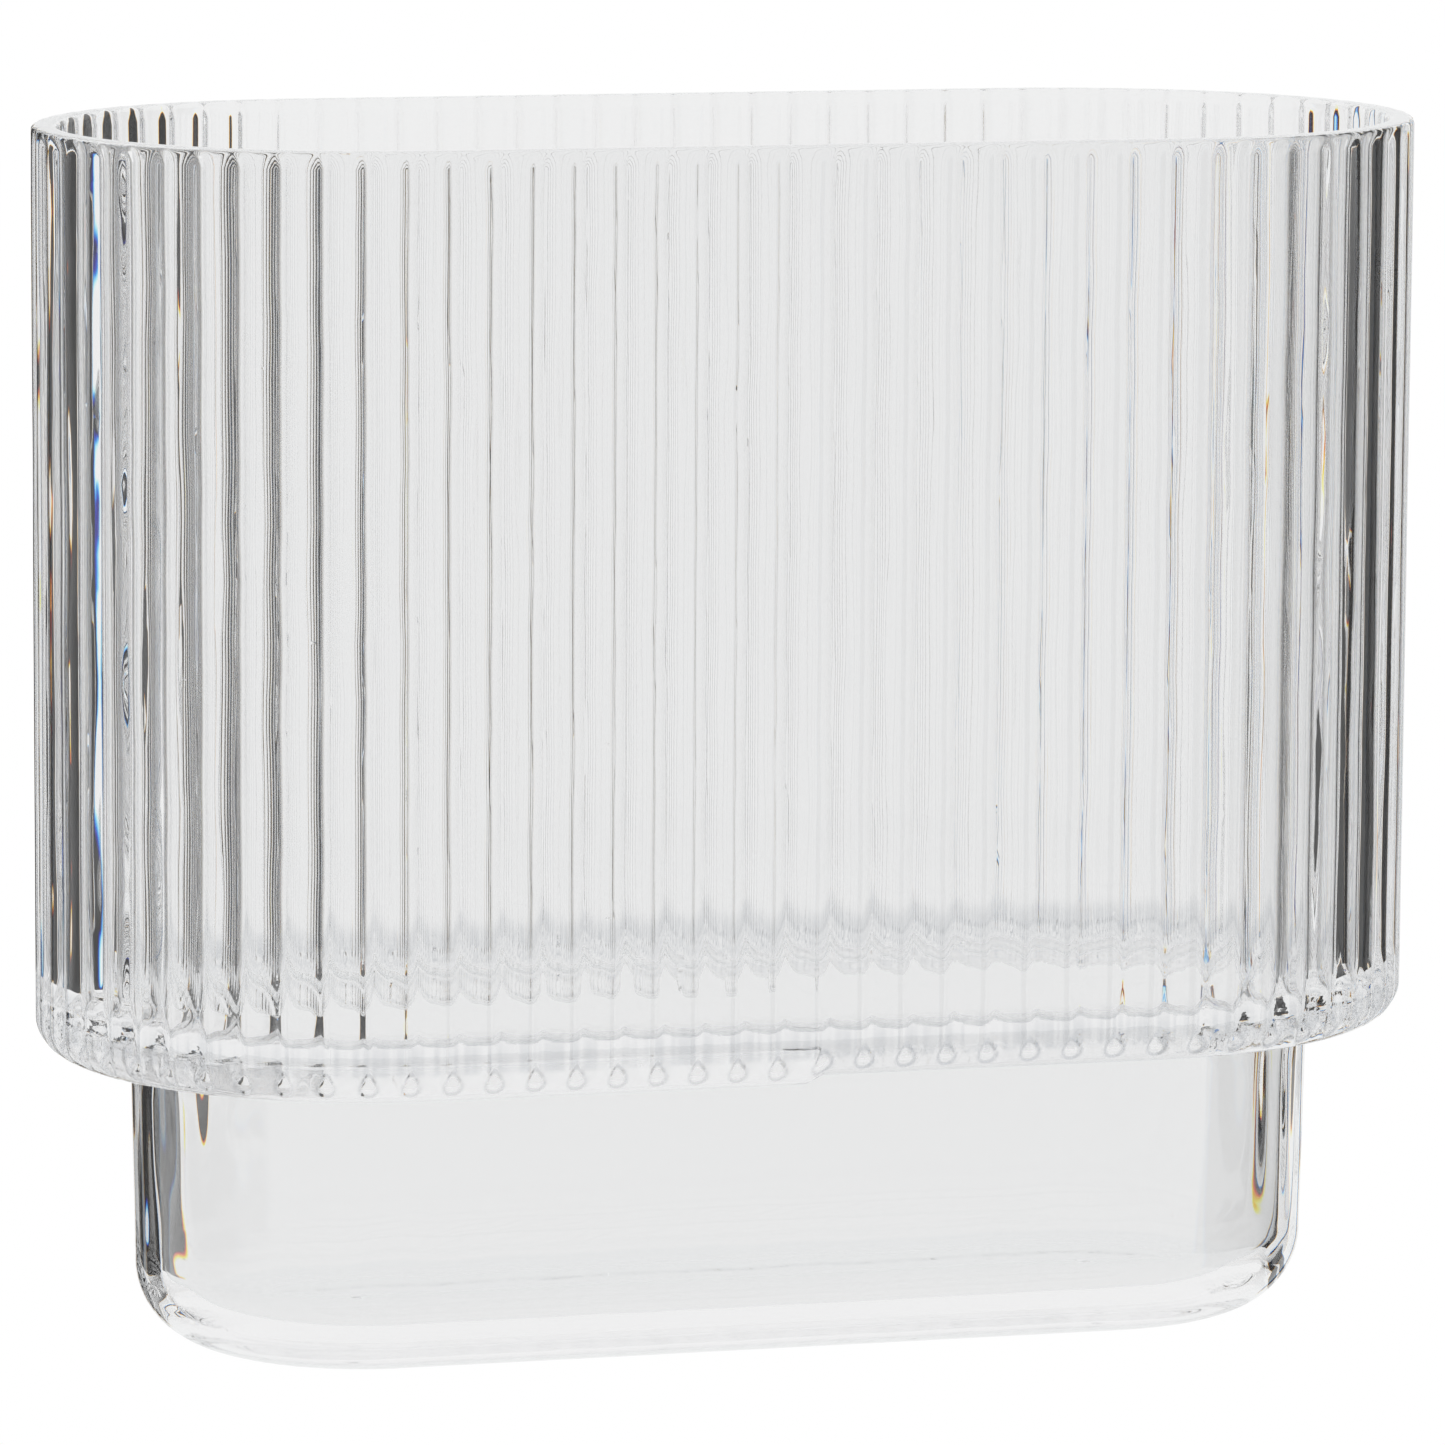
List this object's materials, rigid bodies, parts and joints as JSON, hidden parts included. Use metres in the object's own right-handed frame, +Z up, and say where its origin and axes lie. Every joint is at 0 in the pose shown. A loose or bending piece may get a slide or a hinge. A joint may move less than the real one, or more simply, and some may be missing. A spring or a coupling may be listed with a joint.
{
  "type": "vase",
  "caption": "Oval clear glass vase with a ribbed body, a flat lip and a rounded step down to a narrower smooth foot.",
  "frame": {"origin": "centre of the flat resting face, at the bottom of the foot", "axes": "+Z up along the wall, +X along the length of the oval, +Y towards the back"},
  "size_m": [0.23, 0.107, 0.2],
  "materials": {
    "clear_glass": "clear moulded soda-lime glass, fire polished, with faint waves and fine vertical draw lines"
  },
  "bodies": {
    "root": {"rim_lip": "clear_glass", "fluted_wall": "clear_glass", "step_ledge": "clear_glass", "foot_wall": "clear_glass", "foot_floor": "clear_glass"}
  },
  "joints": []
}
